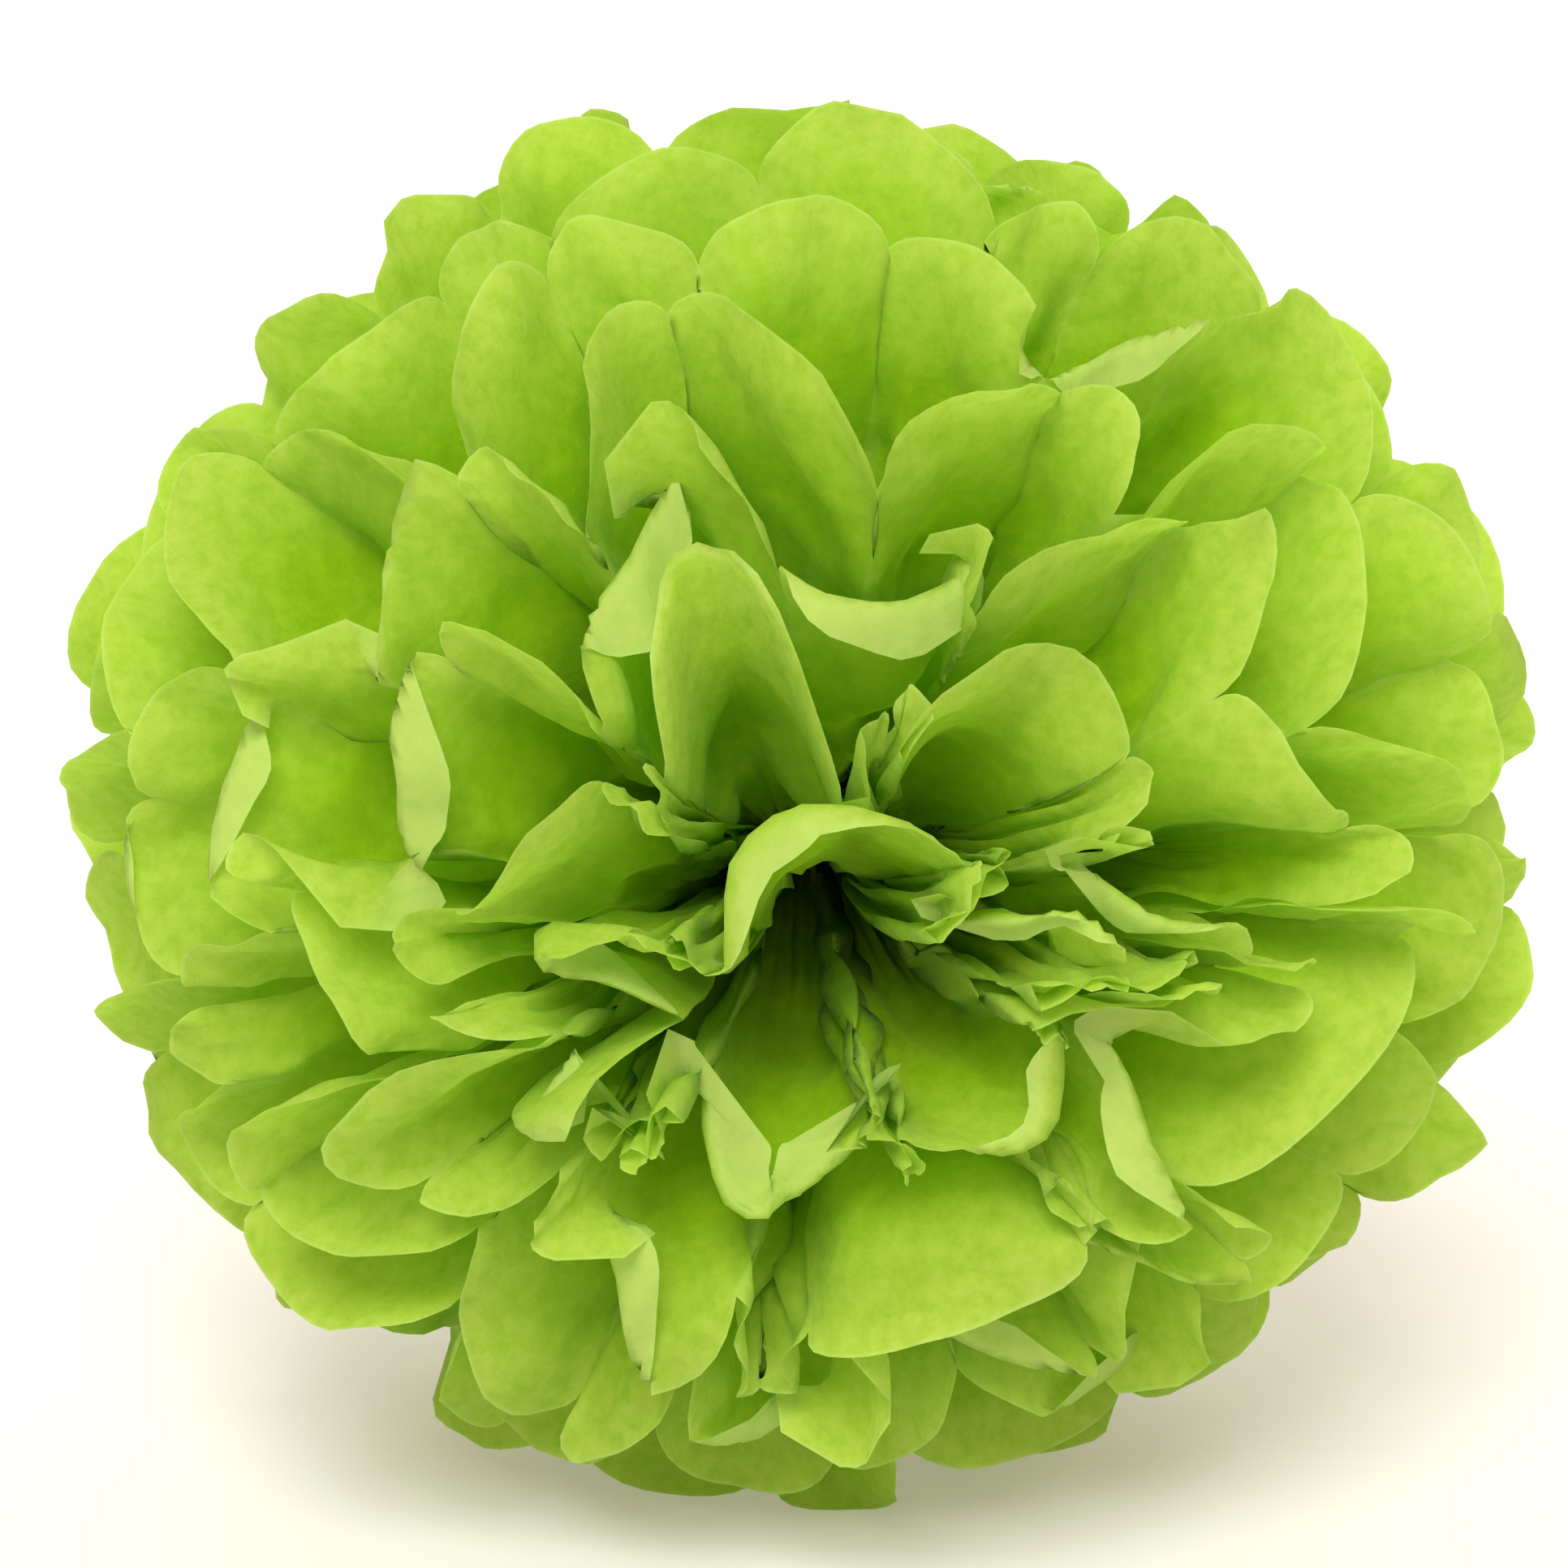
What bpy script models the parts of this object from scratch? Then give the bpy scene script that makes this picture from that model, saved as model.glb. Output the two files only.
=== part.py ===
"""Tissue paper pom pom, lying on its side with the flower facing -Y.

Twelve sheets of tissue are pleated like a fan as one stack, tied round the middle with
a wire, cut round at both ends and pulled apart. Six sheets open to the front and six to
the back. Each sheet stays one piece: two half fans that meet in the tie.

Metres, +Z up. The origin lies on the surface below the middle of the ball.

A point of a sheet is found from three values: the half fan it belongs to, its place
across the pleats (0 to PANELS, whole numbers are creases) and its run, the distance
from the tied middle along the paper.
"""

import math
import random

import bmesh
import bpy
from mathutils import Vector

# Sheets and pleats
SHEETS_PER_SIDE = 6
PANELS = 12
PANEL_WIDTH = 0.036
PETAL_RUN = 0.1215
LOBE_DEPTH = 0.014
SHEET_THICKNESS = 0.0005
LAYER_GAP = 0.0003

# Opening angles from the pom pom's axis, in degrees, and by rank from the axis outwards
# the share of that angle at the tie; the rest opens towards the tips by a power of the run
INNER_TIP_ANGLE = 17.0
OUTER_TIP_ANGLE = 84.2
ROOT_SHARES = (0.60, 0.62, 0.70, 0.78, 0.85, 0.92)
OPENING_POWER = 2.2
LEAN_ANGLE = 0.9
CUP_ANGLE = 1.6
CUP_RANGE = (-0.4, 1.0)
REACH_RANGE = (0.935, 1.0)

# Bend of the petal tips, in radians, outwards from the axis, and where it starts
CURL_RANGE = (-0.25, 0.55)
INNER_CURL_RANGE = (-0.9, 0.5)
CURL_START = 0.86
CURL_EDGE = 0.15

# Pleat folds, by rank from the axis outwards: how much wider an open panel lies than a
# tucked one, how many panels lie between two open ones, and how far a crease swings
OPEN_WIDTHS = (6.0, 3.6, 2.0, 1.4, 1.15, 1.0)
TUCK_COUNTS = (3, 2, 1, 1, 1, 1)
SWING_ANGLES = (2.5, 4.5, 5.8, 5.8, 5.6, 4.8)
INNER_FIN_ANGLE = 3.0
OPEN_EDGE_SHARE = 0.3
SWING_RANGE = (0.75, 1.0)

# Bulge of the inner petals away from the axis, in degrees by rank
DEEP_CUP_ANGLES = (3.0, 0.0, 0.0, 0.0, 0.0, 0.0)
DEEP_CUP_START = 0.030
TUCKED_CUP_SHARE = 0.25

# How unevenly the panels lie, where they leave the tie, and the turn of each sheet
WIDTH_JITTER = 0.28
GATHER_START = 0.006
GATHER_END = 0.064
SEAM_ANGLE = 1.0
FAN_SHIFT = 7.5

# Uneven spread of the whole stack: size in degrees, waves round the axis, start angle
TILT_WAVES = ((3.6, 2, 0.6), (2.4, 3, 2.1), (1.5, 5, 4.0))
TURN_WAVES = ((4.0, 6, 0.7), (2.2, 9, 2.4))
TURN_WAVE_LEAN = 1.5
TURN_FADE_RANGE = (0.4, 0.95)
TURN_FADE = 0.75

# Ruffle that all sheets share: size in degrees, waves round the axis, start angle and
# how it leans with the angle from the axis; the runs between which it grows, and the
# angle from the axis at which it is full
RUFFLES = ((4.2, 7, 0.4, 1.5), (2.6, 11, 1.7, -2.0))
RUFFLE_START = 0.025
RUFFLE_END = 0.095
RUFFLE_POLE_ANGLE = 26.0

# Tied middle
NECK_HALF_LENGTH = 0.0025
NECK_HALF_WIDTH = 0.0045
NECK_FADE_RUN = 0.020
WIRE_DIAMETER = 0.0009
WIRE_TAIL = 0.014
TWIST_PITCH = 0.0045
TIE_OPENING = 0.28
TAIL_STEPS = 10
RING_STEPS = 24

# Place of the ball over the surface
PRESSED_DEPTH = 0.008
CENTRE_HEIGHT = PETAL_RUN - PRESSED_DEPTH
FLAT_DEPTH = 0.0045
DIP_ANGLE = 6.0

# Rows of corners between the neck and the lobes
NOTCH_RUN = PETAL_RUN - LOBE_DEPTH
CREASE_ROW_SHARE = 0.29
MIDDLE_ROW_SHARE = 0.64
LOBE_CORNERS = (0.18, 0.50, 0.82)

TISSUE_COLOUR = (0.33, 0.56, 0.05, 1.0)
WIRE_COLOUR = (0.55, 0.55, 0.52, 1.0)


def smooth_step(value, start, end):
    """Rise from 0 at start to 1 at end with level ends."""
    share = min(max((value - start) / (end - start), 0.0), 1.0)
    return share * share * (3.0 - 2.0 * share)


def stack_height(rank):
    """Height of a sheet's neck over the middle of the tied stack."""
    return (SHEETS_PER_SIDE - rank - 0.5) * (SHEET_THICKNESS + LAYER_GAP)


def bundle_radius():
    """Radius of the round bundle of necks that the wire holds."""
    return math.hypot(stack_height(0) + SHEET_THICKNESS / 2, NECK_HALF_WIDTH)


def panel_draws(draw, limits):
    """One value for each panel of both half fans."""
    return [[draw.uniform(*limits) for _ in range(PANELS)] for _ in range(2)]


class Sheet:
    """One pleated sheet: its side (1 front, -1 back) and its rank from the axis."""

    def __init__(self, side, rank):
        self.side = side
        self.rank = rank
        self.number = rank + 1 if side > 0 else 2 * SHEETS_PER_SIDE - rank
        self.stack = stack_height(rank)
        self.neck_length = NECK_HALF_LENGTH + rank * (SHEET_THICKNESS + LAYER_GAP)
        reach = self.stack + SHEET_THICKNESS / 2
        self.neck_width = math.sqrt(bundle_radius() ** 2 - reach ** 2)
        self.tip_angle = math.radians(INNER_TIP_ANGLE) + sheet_spacing() * rank
        draw = random.Random(100 + self.number)
        self.shift = math.radians(FAN_SHIFT) * draw.uniform(-1.0, 1.0)
        self.turns = [self.panel_turns(draw) for _ in range(2)]
        self.swings = [self.crease_swings(draw) for _ in range(2)]
        self.reach = panel_draws(draw, REACH_RANGE)
        self.curl = panel_draws(draw, CURL_RANGE if rank else INNER_CURL_RANGE)
        self.cup = panel_draws(draw, CUP_RANGE)

    def is_open(self, panel):
        """An open panel shows its face; the panels between two open ones are tucked."""
        return (panel + self.number) % (TUCK_COUNTS[self.rank] + 1) == 0

    def panel_turns(self, draw):
        """Turns round the axis of the creases of one half fan."""
        widths = []
        for panel in range(PANELS):
            width = OPEN_WIDTHS[self.rank] if self.is_open(panel) else 1.0
            widths.append(width * draw.uniform(1.0 - WIDTH_JITTER, 1.0 + WIDTH_JITTER))
        seam = math.radians(SEAM_ANGLE)
        scale = (math.pi - 2 * seam) / sum(widths)
        return [seam + scale * sum(widths[:crease]) for crease in range(PANELS + 1)]

    def crease_swings(self, draw):
        """Angles by which creases stand out of the sheet, outwards and inwards by turns."""
        swings = []
        for crease in range(PANELS + 1):
            side = 1 if (crease + self.number) % 2 == 0 else -1
            size = SWING_ANGLES[self.rank]
            beside_open = self.is_open(crease - 1) or self.is_open(crease)
            if TUCK_COUNTS[self.rank] > 1 and beside_open:
                size *= OPEN_EDGE_SHARE
            elif self.rank == 0 and side < 0:
                size = INNER_FIN_ANGLE
            swing = side * size * draw.uniform(*SWING_RANGE)
            swings.append(math.radians(swing + LEAN_ANGLE * draw.uniform(-1.0, 1.0)))
        return swings


def sheet_spacing():
    """Angle between one sheet's petal tips and the next sheet's."""
    return math.radians(OUTER_TIP_ANGLE - INNER_TIP_ANGLE) / (SHEETS_PER_SIDE - 1)


def mean_angle(sheet, run):
    """Angle of the sheet from the axis, which opens towards the petal tips."""
    root = ROOT_SHARES[sheet.rank]
    opening = min(run / PETAL_RUN, 1.0) ** OPENING_POWER
    return sheet.tip_angle * (root + (1.0 - root) * opening)


def crease_angle(sheet, half, crease, run):
    """Angle of one crease from the axis, swinging more the farther it runs."""
    swing = sheet.swings[half][crease] * smooth_step(run, GATHER_START, GATHER_END)
    return mean_angle(sheet, run) + swing


def spread(angle, turn):
    """Bunch some petals and open others, together for all sheets."""
    tilt = sum(size * math.sin(count * turn + start) for size, count, start in TILT_WAVES)
    tilt *= math.sin(angle)
    lean = TURN_WAVE_LEAN * angle
    twist = sum(size * math.sin(count * turn + start + lean) for size, count, start in TURN_WAVES)
    twist *= 1.0 - TURN_FADE * smooth_step(math.sin(angle), *TURN_FADE_RANGE)
    return angle + math.radians(tilt), turn + math.radians(twist)


def ruffle(angle, turn, run):
    """Wave that passes through all sheets together, so that none meets its neighbour."""
    wave = sum(
        size * math.sin(count * turn + start + lean * angle) for size, count, start, lean in RUFFLES
    )
    from_pole = min(min(angle, math.pi - angle) / math.radians(RUFFLE_POLE_ANGLE), 1.0)
    return angle + math.radians(wave) * from_pole * smooth_step(run, RUFFLE_START, RUFFLE_END)


def curl_tip(sheet, half, panel, share, angle, run):
    """Bend the end of a petal off its straight run: new angle and distance."""
    start = CURL_START * NOTCH_RUN
    bend = run - start
    if bend <= 0.0:
        return angle, run
    arch = math.sin(math.pi * (CURL_EDGE + (1.0 - 2 * CURL_EDGE) * share))
    bow = sheet.curl[half][panel] * arch * bend / (PETAL_RUN - start)
    reach = run - bend * (1.0 - math.cos(bow))
    return angle + bend * math.sin(bow) / reach, reach


def sheet_point(sheet, half, place, run):
    """Point of the sheet in the ball's frame: across, up and towards the viewer."""
    panel = min(int(place), PANELS - 1)
    share = place - panel
    first = crease_angle(sheet, half, panel, run)
    second = crease_angle(sheet, half, panel + 1, run)
    angle = first + (second - first) * share
    cup = math.radians(CUP_ANGLE) * sheet.cup[half][panel]
    angle += cup * math.sin(math.pi * share) * smooth_step(run, 0.0, NOTCH_RUN)
    deep = math.radians(DEEP_CUP_ANGLES[sheet.rank])
    if not sheet.is_open(panel):
        deep *= TUCKED_CUP_SHARE
    angle += deep * math.sin(math.pi * share) * smooth_step(run, DEEP_CUP_START, NOTCH_RUN)
    angle, reach = curl_tip(sheet, half, panel, share, angle, run)
    if sheet.side < 0:
        angle = math.pi - angle
    turns = sheet.turns[half]
    turn = turns[panel] + (turns[panel + 1] - turns[panel]) * share
    mirror = 1 if half == 0 else -1
    shifted = mirror * turn + sheet.shift * smooth_step(run, 0.0, NOTCH_RUN)
    angle, shifted = spread(angle, shifted)
    angle = ruffle(angle, shifted, run)
    neck = sheet.neck_length * math.exp(-run / NECK_FADE_RUN)
    across = reach * math.sin(angle)
    x = sheet.neck_width * math.cos(turn) + across * math.cos(shifted)
    y = mirror * neck + across * math.sin(shifted)
    z = sheet.side * sheet.stack + reach * math.cos(angle)
    return x, y, z


def settle(x, y, z):
    """Set the ball on the surface, its flower dipped a little towards it.

    What would reach below the surface is pressed up.
    """
    dip = math.radians(DIP_ANGLE)
    height = y * math.cos(dip) - z * math.sin(dip) + CENTRE_HEIGHT
    if height < FLAT_DEPTH:
        height = FLAT_DEPTH * math.exp((height - FLAT_DEPTH) / FLAT_DEPTH)
    return Vector((x, -z * math.cos(dip) - y * math.sin(dip), height))


def add_row(mesh, sheet, half, places, run):
    """Add one row of corners across a half fan, keyed by place."""
    row = {}
    for place in places:
        row[place] = mesh.verts.new(settle(*sheet_point(sheet, half, place, run)))
    return row


def join_rows(mesh, inner, outer):
    """Fill between two rows with triangles, walking along both by place."""
    inner_places = sorted(inner)
    outer_places = sorted(outer)
    i = 0
    j = 0
    while i < len(inner_places) - 1 or j < len(outer_places) - 1:
        step_inner = i < len(inner_places) - 1
        if step_inner and j < len(outer_places) - 1:
            step_inner = inner_places[i + 1] <= outer_places[j + 1]
        if step_inner:
            corners = (inner[inner_places[i]], inner[inner_places[i + 1]], outer[outer_places[j]])
            i += 1
        else:
            corners = (inner[inner_places[i]], outer[outer_places[j + 1]], outer[outer_places[j]])
            j += 1
        mesh.faces.new(corners)


def add_lobes(mesh, sheet, half, edge_row):
    """Close each panel with its round lobe beyond the ends of its creases."""
    for panel in range(PANELS):
        reach = sheet.reach[half][panel]
        rim = [edge_row[panel]]
        for share in LOBE_CORNERS:
            rise = math.sqrt(1.0 - (2 * share - 1) ** 2)
            run = NOTCH_RUN + (PETAL_RUN * reach - NOTCH_RUN) * rise
            rim.append(mesh.verts.new(settle(*sheet_point(sheet, half, panel + share, run))))
        rim.append(edge_row[panel + 1])
        middle = edge_row[panel + 0.5]
        for first, second in zip(rim, rim[1:]):
            mesh.faces.new((middle, second, first))


def add_half_fan(mesh, sheet, half, neck_row):
    """Build one half fan outwards from the middle line of the neck."""
    creases = range(PANELS + 1)
    halves = [step / 2 for step in range(2 * PANELS + 1)]
    rows = [neck_row]
    rows.append(add_row(mesh, sheet, half, sorted(neck_row), 0.0))
    rows.append(add_row(mesh, sheet, half, creases, CREASE_ROW_SHARE * NOTCH_RUN))
    rows.append(add_row(mesh, sheet, half, halves, MIDDLE_ROW_SHARE * NOTCH_RUN))
    rows.append(add_row(mesh, sheet, half, halves, NOTCH_RUN))
    for inner, outer in zip(rows, rows[1:]):
        join_rows(mesh, inner, outer)
    add_lobes(mesh, sheet, half, rows[-1])


def make_material(name, colour, metallic, roughness):
    """One plain surface for one piece."""
    material = bpy.data.materials.new(name)
    material.use_nodes = True
    shader = material.node_tree.nodes["Principled BSDF"]
    shader.inputs["Base Color"].default_value = colour
    shader.inputs["Metallic"].default_value = metallic
    shader.inputs["Roughness"].default_value = roughness
    return material


def add_object(name, data, material):
    """Put mesh or curve data into the scene as a named object."""
    data.materials.append(material)
    item = bpy.data.objects.new(name, data)
    bpy.context.collection.objects.link(item)
    return item


def make_sheet(side, rank):
    """Model one sheet as a thin closed solid."""
    sheet = Sheet(side, rank)
    mesh = bmesh.new()
    neck_row = {}
    for place in range(0, PANELS + 1, PANELS // 4):
        across = sheet.neck_width * math.cos(math.pi * place / PANELS)
        neck_row[place] = mesh.verts.new(settle(across, 0.0, side * sheet.stack))
    for half in range(2):
        add_half_fan(mesh, sheet, half, neck_row)
    bmesh.ops.recalc_face_normals(mesh, faces=mesh.faces)
    name = f"sheet_{sheet.number:02d}"
    data = bpy.data.meshes.new(name)
    mesh.to_mesh(data)
    mesh.free()
    item = add_object(name, data, make_material(name + "_tissue", TISSUE_COLOUR, 0.0, 0.9))
    solid = item.modifiers.new("thickness", "SOLIDIFY")
    solid.thickness = SHEET_THICKNESS
    solid.offset = 0.0
    return item


def tie_path():
    """Centre line of the wire: in along one tail, round the bundle, out along the other."""
    radius = bundle_radius() + LAYER_GAP + WIRE_DIAMETER / 2
    strand = (WIRE_DIAMETER + LAYER_GAP) / 2
    start = radius + strand
    tail = []
    for step in range(TAIL_STEPS + 1):
        along = WIRE_TAIL * step / TAIL_STEPS
        twist = 2 * math.pi * along / TWIST_PITCH
        tail.append((start + along, strand * math.sin(twist), strand * math.cos(twist)))
    points = list(reversed(tail))
    for step in range(RING_STEPS + 1):
        turn = TIE_OPENING + (2 * math.pi - 2 * TIE_OPENING) * step / RING_STEPS
        points.append((radius * math.cos(turn), 0.0, radius * math.sin(turn)))
    points.extend((x, -y, -z) for x, y, z in tail)
    return points


def make_tie():
    """Model the wire tie as one round wire swept along its path."""
    curve = bpy.data.curves.new("tie_wire", "CURVE")
    curve.dimensions = "3D"
    curve.bevel_depth = WIRE_DIAMETER / 2
    curve.bevel_resolution = 1
    curve.use_fill_caps = True
    spline = curve.splines.new("POLY")
    points = tie_path()
    spline.points.add(len(points) - 1)
    for corner, (x, y, z) in zip(spline.points, points):
        corner.co = (*settle(x, y, z), 1.0)
    return add_object("tie_wire", curve, make_material("tie_wire_steel", WIRE_COLOUR, 1.0, 0.35))


def main():
    for item in list(bpy.data.objects):
        bpy.data.objects.remove(item, do_unlink=True)
    for side in (1, -1):
        for rank in range(SHEETS_PER_SIDE):
            make_sheet(side, rank)
    make_tie()


main()
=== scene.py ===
import math
import random

import bpy
import numpy as np
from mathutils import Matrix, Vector


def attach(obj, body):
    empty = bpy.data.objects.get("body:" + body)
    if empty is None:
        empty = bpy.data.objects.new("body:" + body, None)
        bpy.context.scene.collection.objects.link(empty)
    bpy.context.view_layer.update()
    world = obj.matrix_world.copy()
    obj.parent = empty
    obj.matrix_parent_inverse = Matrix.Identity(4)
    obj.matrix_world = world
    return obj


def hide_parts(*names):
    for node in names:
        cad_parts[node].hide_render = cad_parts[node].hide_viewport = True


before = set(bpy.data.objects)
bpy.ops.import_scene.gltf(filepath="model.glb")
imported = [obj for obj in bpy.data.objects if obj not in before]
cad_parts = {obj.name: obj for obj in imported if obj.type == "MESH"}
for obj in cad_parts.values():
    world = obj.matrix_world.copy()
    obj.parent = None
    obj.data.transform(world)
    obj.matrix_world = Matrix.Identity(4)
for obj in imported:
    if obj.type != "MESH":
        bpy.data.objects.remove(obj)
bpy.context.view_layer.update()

# Sheets and pleats. ROOT_SHARES, OPEN_WIDTHS, SWING_ANGLES, INNER_FIN_ANGLE, DEEP_CUP_ANGLES
# and the last ruffle are finer here than in the solids. All the rest is the same in both.
SHEETS_PER_SIDE = 6
PANELS = 12
PANEL_WIDTH = 0.036
PETAL_RUN = 0.1215
LOBE_DEPTH = 0.014
NOTCH_RUN = PETAL_RUN - LOBE_DEPTH
LAYER_THICKNESS = 0.0005
LAYER_GAP = 0.0003
INNER_TIP_ANGLE = 17.0
OUTER_TIP_ANGLE = 84.2
ROOT_SHARES = (0.45, 0.54, 0.66, 0.76, 0.85, 0.92)
OPENING_POWER = 2.2
LEAN_ANGLE = 0.9
CUP_ANGLE = 1.6
CUP_RANGE = (-0.4, 1.0)
REACH_RANGE = (0.935, 1.0)
CURL_RANGE = (-0.25, 0.55)
INNER_CURL_RANGE = (-0.9, 0.5)
CURL_START = 0.86
CURL_EDGE = 0.15
OPEN_WIDTHS = (16.0, 5.5, 2.3, 1.4, 1.15, 1.0)
TUCK_COUNTS = (3, 2, 1, 1, 1, 1)
SWING_ANGLES = (4.6, 5.0, 5.8, 5.8, 5.6, 4.8)
INNER_FIN_ANGLE = 5.5
OPEN_EDGE_SHARE = 0.3
SWING_RANGE = (0.75, 1.0)
DEEP_CUP_ANGLES = (4.0, 1.5, 0.0, 0.0, 0.0, 0.0)
DEEP_CUP_START = 0.030
TUCKED_CUP_SHARE = 0.25
WIDTH_JITTER = 0.28
GATHER_START = 0.006
GATHER_END = 0.064
SEAM_ANGLE = 1.0
FAN_SHIFT = 7.5
TILT_WAVES = ((3.6, 2, 0.6), (2.4, 3, 2.1), (1.5, 5, 4.0))
TURN_WAVES = ((4.0, 6, 0.7), (2.2, 9, 2.4))
TURN_WAVE_LEAN = 1.5
TURN_FADE_RANGE = (0.4, 0.95)
TURN_FADE = 0.75

# Ruffle that all sheets share: size in degrees, waves round the axis, phase, twist with angle
RUFFLES = ((4.2, 7, 0.4, 1.5), (2.6, 11, 1.7, -2.0), (0.6, 19, 0.2, 4.0))
RUFFLE_START = 0.025
RUFFLE_END = 0.095
RUFFLE_POLE_ANGLE = 26.0

# Tips folded back on themselves, and tips that only roll: how many on each sheet, their
# height, turn in radians, radius, slant in degrees and reach into the next panel in panels
LIP_CHANCES = (0.60, 0.50, 0.42, 0.34, 0.24, 0.12)
LIP_HEIGHTS = (0.008, 0.013)
LIP_INNER_SHARE = 0.9
LIP_ANGLES = (2.3, 2.9)
LIP_RADII = (0.0006, 0.0016)
LIP_SLANT = 34.0
LIP_FADE = 0.25
TURNED_RANGE = (0.9, 1.9)
ROLL_HEIGHTS = (0.008, 0.020)
ROLL_ANGLES = (0.1, 0.7)
TUCKED_ROLL_ANGLES = (0.0, 0.3)
ROLL_INNER_SHARE = 0.5
ROLL_FADE = 0.5

# Folds of the six petals round the front flower's middle: height, turn, radius, slant
# and face of each
RING_FOLDS = ((0.012, 2.2, 0.0026, 10.0, -1.0),)
VEE_FOLDS = ((0.013, 2.7, 0.0012, 38.0, -1.0), (0.013, 2.7, 0.0012, -38.0, -1.0))
BOW_FOLDS = ((0.012, 2.2, 0.0022, -12.0, -1.0),)
STRIP_FOLDS = ((0.012, 2.8, 0.0010, 30.0, -1.0),)
POCKET_FOLDS = ((0.016, 2.4, 0.0030, -26.0, -1.0),)

# The same six petals by half fan and panel: width, lean in degrees and folds
MIDDLE_PETALS = {
    (0, 3): (0.80, 2.0, STRIP_FOLDS),
    (0, 7): (2.20, -1.0, RING_FOLDS),
    (0, 11): (0.70, 2.0, STRIP_FOLDS),
    (1, 3): (1.5, 1.0, BOW_FOLDS),
    (1, 7): (1.6, 0.0, VEE_FOLDS),
    (1, 11): (1.0, 1.5, POCKET_FOLDS),
}
MIDDLE_FADE = 0.12
FOLD_SEEDS = {1: 20000, -1: 60000}
TUCKED_REACH_SHARES = (0.94, 0.96, 1.0, 1.0, 1.0, 1.0)

# Small pleats that gather the paper towards the tie: where they fade out on the tucked and
# the open panels of each rank, how steep they grow, where they begin and where they widen
TUCKED_GATHER_FADES = (
    (0.088, 0.108),
    (0.090, 0.108),
    (0.070, 0.100),
    (0.066, 0.098),
    (0.066, 0.098),
    (0.066, 0.098),
)
OPEN_GATHER_FADES = (
    (0.050, 0.073),
    (0.050, 0.078),
    (0.050, 0.080),
    (0.058, 0.090),
    (0.060, 0.092),
    (0.060, 0.094),
)
GATHER_SLOPE = 0.072
GATHER_RISE = (0.002, 0.012)
WIDE_GATHER_RANGE = (0.035, 0.060)

# Relief of the paper over its main shape. First, soft waves near the tie
WAVE_COUNTS = (1.5, 2.5, 3.5, 4.5)
WAVE_HEIGHT = 0.00042
WAVE_RISE = (0.010, 0.040)
WAVE_FALL = (0.040, 0.085)
WAVE_WANDER = 0.6
WANDER_RUN = 0.021

# Dents and creases between flat facets, from the run where the body of a petal begins
BODY_RISE = (0.030, 0.070)
DENTS = 9
DENT_LENGTHS = (0.012, 0.034)
DENT_SLOPE = 0.016
DENT_BEND = 1.1
DENT_BEND_LENGTH = 2.3

# Short old fold lines, strewn over the sheet
RIDGES = 34
RIDGE_START = 0.05
RIDGE_TURN_SPREAD = 0.5
RIDGE_WIDTH = 0.0022
RIDGE_LENGTH = 0.016
RIDGE_HEIGHT = 0.00055

# One long fold line on each panel
LONG_RIDGE_PLACES = (0.3, 0.7)
LONG_RIDGE_SLOPES = (-0.14, 0.14)
LONG_RIDGE_ENDS = (0.085, 0.120)
LONG_RIDGE_FADE = 0.030
LONG_RIDGE_PIVOT = 0.060
LONG_RIDGE_HEIGHT = 0.0013
LONG_RIDGE_WIDTH = 0.005

# Flutter of the rim, and a faint waviness of its cut
FLUTTER_HEIGHT = 0.0006
FLUTTER_REACH = 0.007
FLUTTER_COUNT = 1.37
FAST_FLUTTER_COUNT = 3.1
FAST_FLUTTER_SHARE = 0.6
CUT_WAVE_HEIGHT = 0.0003
CUT_WAVE_RATE = 9.1

# Tied middle and place over the floor, as the solids have them
NECK_HALF_LENGTH = 0.0025
NECK_HALF_WIDTH = 0.0045
NECK_FADE_RUN = 0.020
WIRE_DIAMETER = 0.0009
WIRE_TAIL = 0.014
TWIST_PITCH = 0.0045
TIE_OPENING = 0.28
PRESSED_DEPTH = 0.008
CENTRE_HEIGHT = PETAL_RUN - PRESSED_DEPTH
FLAT_DEPTH = 0.0045
DIP_ANGLE = 6.0

# Flat size of one sheet before folding
SHEET_WIDTH = PANELS * PANEL_WIDTH

# Fine mesh of the paper and the wire, and the least height over the floor
FLOOR_CLEARANCE = 0.0003
TAIL_STEPS = 40
RING_STEPS = 72
WIRE_BEVEL_STEPS = 4
PANEL_COLUMNS = 16
RUN_ROWS = 50
ROW_CROWDING = 0.85
PROBE = 0.0004
SMALLEST_NORMAL = 1e-12
CIRCLE = 2 * math.pi


def smooth_step(value, start, end):
    """Rise from 0 at start to 1 at end with level ends, for numbers and arrays."""
    share = np.clip((value - start) / (end - start), 0.0, 1.0)
    return share * share * (3.0 - 2.0 * share)


def stack_height(rank):
    """Height of a sheet's neck over the middle of the tied stack."""
    return (SHEETS_PER_SIDE - rank - 0.5) * (LAYER_THICKNESS + LAYER_GAP)


def bundle_radius():
    """Radius of the round bundle of necks that the wire holds."""
    return math.hypot(stack_height(0) + LAYER_THICKNESS / 2, NECK_HALF_WIDTH)


def sheet_spacing():
    """Angle between one sheet's petal tips and the next sheet's."""
    return math.radians(OUTER_TIP_ANGLE - INNER_TIP_ANGLE) / (SHEETS_PER_SIDE - 1)


def panel_draws(draw, limits):
    """One value for each panel of both half fans."""
    return np.array([[draw.uniform(*limits) for _ in range(PANELS)] for _ in range(2)])


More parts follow.
